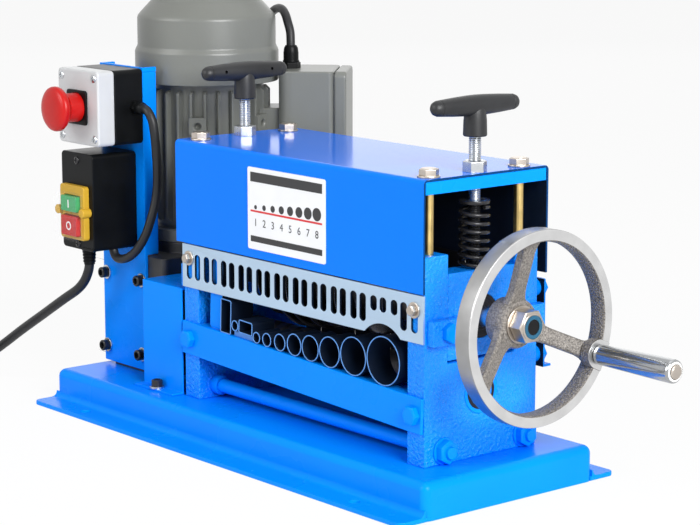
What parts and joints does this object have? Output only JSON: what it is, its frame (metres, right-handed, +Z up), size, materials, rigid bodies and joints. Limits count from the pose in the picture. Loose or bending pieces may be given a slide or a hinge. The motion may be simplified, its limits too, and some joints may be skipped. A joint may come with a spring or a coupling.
{
  "type": "wire stripping machine",
  "caption": "Bench wire stripping machine with graded guide tubes, a motor-driven grooved roller, round blades set by T-handle press screws, a handwheel, start switch and stop button.",
  "frame": {"origin": "middle of the base's underside, at the centre of the bolt-down holes", "axes": "+X along the roller towards the handwheel, +Y to the wire outlet at the back, +Z up"},
  "size_m": [0.8623, 0.3906, 0.378],
  "materials": {
    "blue_paint": "glossy enamel over cut plate and bent sheet",
    "bright_sheet": "bare rolled sheet",
    "ground_steel": "ground",
    "yellow_zinc": "yellow zinc plate",
    "zinc_plate": "bright zinc plate",
    "black_oxide": "black oxide",
    "black_casting": "satin black paint",
    "motor_grey": "satin grey paint",
    "copper_winding": "varnished windings",
    "rotor_steel": "turned",
    "black_plastic": "fine spark texture",
    "grip_plastic": "satin moulded",
    "cable_sheath": "satin",
    "white_plastic": "satin moulded",
    "yellow_plastic": "moulded",
    "clear_boot": "soft clear boot",
    "red_plastic": "moulded",
    "green_plastic": "moulded",
    "blade_steel": "ground and bevelled",
    "dark_steel": "turned and oiled",
    "cast_wheel": "sand-cast spokes, turned rim",
    "polished_chrome": "polished",
    "gear_bronze": "hobbed"
  },
  "bodies": {
    "machine_frame": {"base_pan": "blue_paint", "right_end_plate": "blue_paint", "left_end_plate": "blue_paint", "lower_bearings": "ground_steel", "tie_rods": "blue_paint", "front_guide_bar": "blue_paint", "wire_guide_tubes": "blue_paint", "slotted_front_plate": "bright_sheet", "rear_outlet_plate": "blue_paint", "keeper_plates": "blue_paint", "frame_bolts": "blue_paint", "hood": "blue_paint", "cross_bars": "blue_paint", "hood_bolts": "yellow_zinc", "screw_nuts": "zinc_plate", "switch_post": "blue_paint", "socket_screws": "black_oxide", "coupling_guard": "blue_paint", "reducer_housing": "black_casting", "reducer_covers": "black_casting", "motor_frame": "motor_grey", "motor_stator": "copper_winding", "fan_cover": "motor_grey", "terminal_box": "motor_grey", "terminal_box_lid": "motor_grey", "cable_glands": "black_plastic", "control_leads": "cable_sheath", "stop_box_base": "black_plastic", "stop_box_cover": "white_plastic", "stop_bezel": "black_plastic", "switch_box": "black_plastic", "switch_bezel": "yellow_plastic", "switch_boot": "clear_boot", "mains_gland": "black_plastic", "mains_cord": "cable_sheath", "cord_coil": "cable_sheath", "mains_plug": "black_plastic"},
    "blade_carriage": {"bearing_blocks": "blue_paint", "upper_bearings": "ground_steel", "press_springs": "black_oxide"},
    "blade_spindle": {"blade_shaft": "ground_steel", "cutting_blades": "blade_steel", "blade_spacers": "dark_steel", "handwheel": "cast_wheel", "wheel_nut": "zinc_plate", "crank_spindle": "zinc_plate"},
    "crank_grip": {"crank_handle": "polished_chrome"},
    "right_screw": {"right_press_screw": "zinc_plate", "right_t_handle": "grip_plastic"},
    "left_screw": {"left_press_screw": "zinc_plate", "left_t_handle": "grip_plastic"},
    "feed_drive": {"feed_roller": "ground_steel", "drive_coupling": "dark_steel", "worm_wheel": "gear_bronze"},
    "motor_spindle": {"motor_rotor": "rotor_steel", "cooling_fan": "black_plastic"},
    "stop_shank": {"stop_plunger": "red_plastic"},
    "stop_mushroom": {"stop_head": "red_plastic"},
    "start_key_body": {"start_key": "green_plastic"},
    "stop_key_body": {"stop_key": "red_plastic"}
  },
  "joints": [
    {"name": "carriage_lift", "type": "slide", "parent": "machine_frame", "child": "blade_carriage", "axis": [0, 0, 1], "range_m": [0, 0.008]},
    {"name": "right_screw_turn", "type": "hinge", "parent": "blade_carriage", "child": "right_screw", "pos_m": [0.212, -0.002, 0.2565], "axis": [0, 0, 1], "range_deg": [0, 1920]},
    {"name": "left_screw_turn", "type": "hinge", "parent": "blade_carriage", "child": "left_screw", "pos_m": [-0.082, -0.002, 0.2565], "axis": [0, 0, 1], "range_deg": [0, 1920]},
    {"name": "blade_spin", "type": "hinge", "parent": "blade_carriage", "child": "blade_spindle", "pos_m": [0.065, -0.002, 0.1435], "axis": [1, 0, 0], "continuous": true},
    {"name": "crank_grip_spin", "type": "hinge", "parent": "blade_spindle", "child": "crank_grip", "pos_m": [0.33, 0.05928, 0.11544], "axis": [1, 0, 0], "continuous": true},
    {"name": "motor_spin", "type": "hinge", "parent": "machine_frame", "child": "motor_spindle", "pos_m": [-0.198, 0.043, 0.22], "axis": [0, 0, 1], "continuous": true},
    {"name": "feed_spin", "type": "hinge", "parent": "machine_frame", "child": "feed_drive", "pos_m": [0.065, -0.002, 0.0825], "axis": [1, 0, 0], "continuous": true},
    {"name": "stop_press", "type": "slide", "parent": "machine_frame", "child": "stop_shank", "axis": [0, 1, 0], "range_m": [0, 0.005]},
    {"name": "stop_twist", "type": "hinge", "parent": "stop_shank", "child": "stop_mushroom", "pos_m": [-0.212, -0.11, 0.2765], "axis": [0, 1, 0], "range_deg": [0, 45], "stiffness_Nm_per_rad": 0.02},
    {"name": "start_key_press", "type": "slide", "parent": "machine_frame", "child": "start_key_body", "axis": [0, 1, 0], "range_m": [0, 0.003], "stiffness_N_per_m": 400},
    {"name": "stop_key_press", "type": "slide", "parent": "machine_frame", "child": "stop_key_body", "axis": [0, 1, 0], "range_m": [0, 0.003], "stiffness_N_per_m": 400}
  ],
  "couplings": [
    {"joint": "right_screw_turn", "follows": "carriage_lift", "rad_per_m": 4188.8},
    {"joint": "left_screw_turn", "follows": "carriage_lift", "rad_per_m": 4188.8},
    {"joint": "feed_spin", "follows": "motor_spin", "ratio": -0.035714}
  ]
}
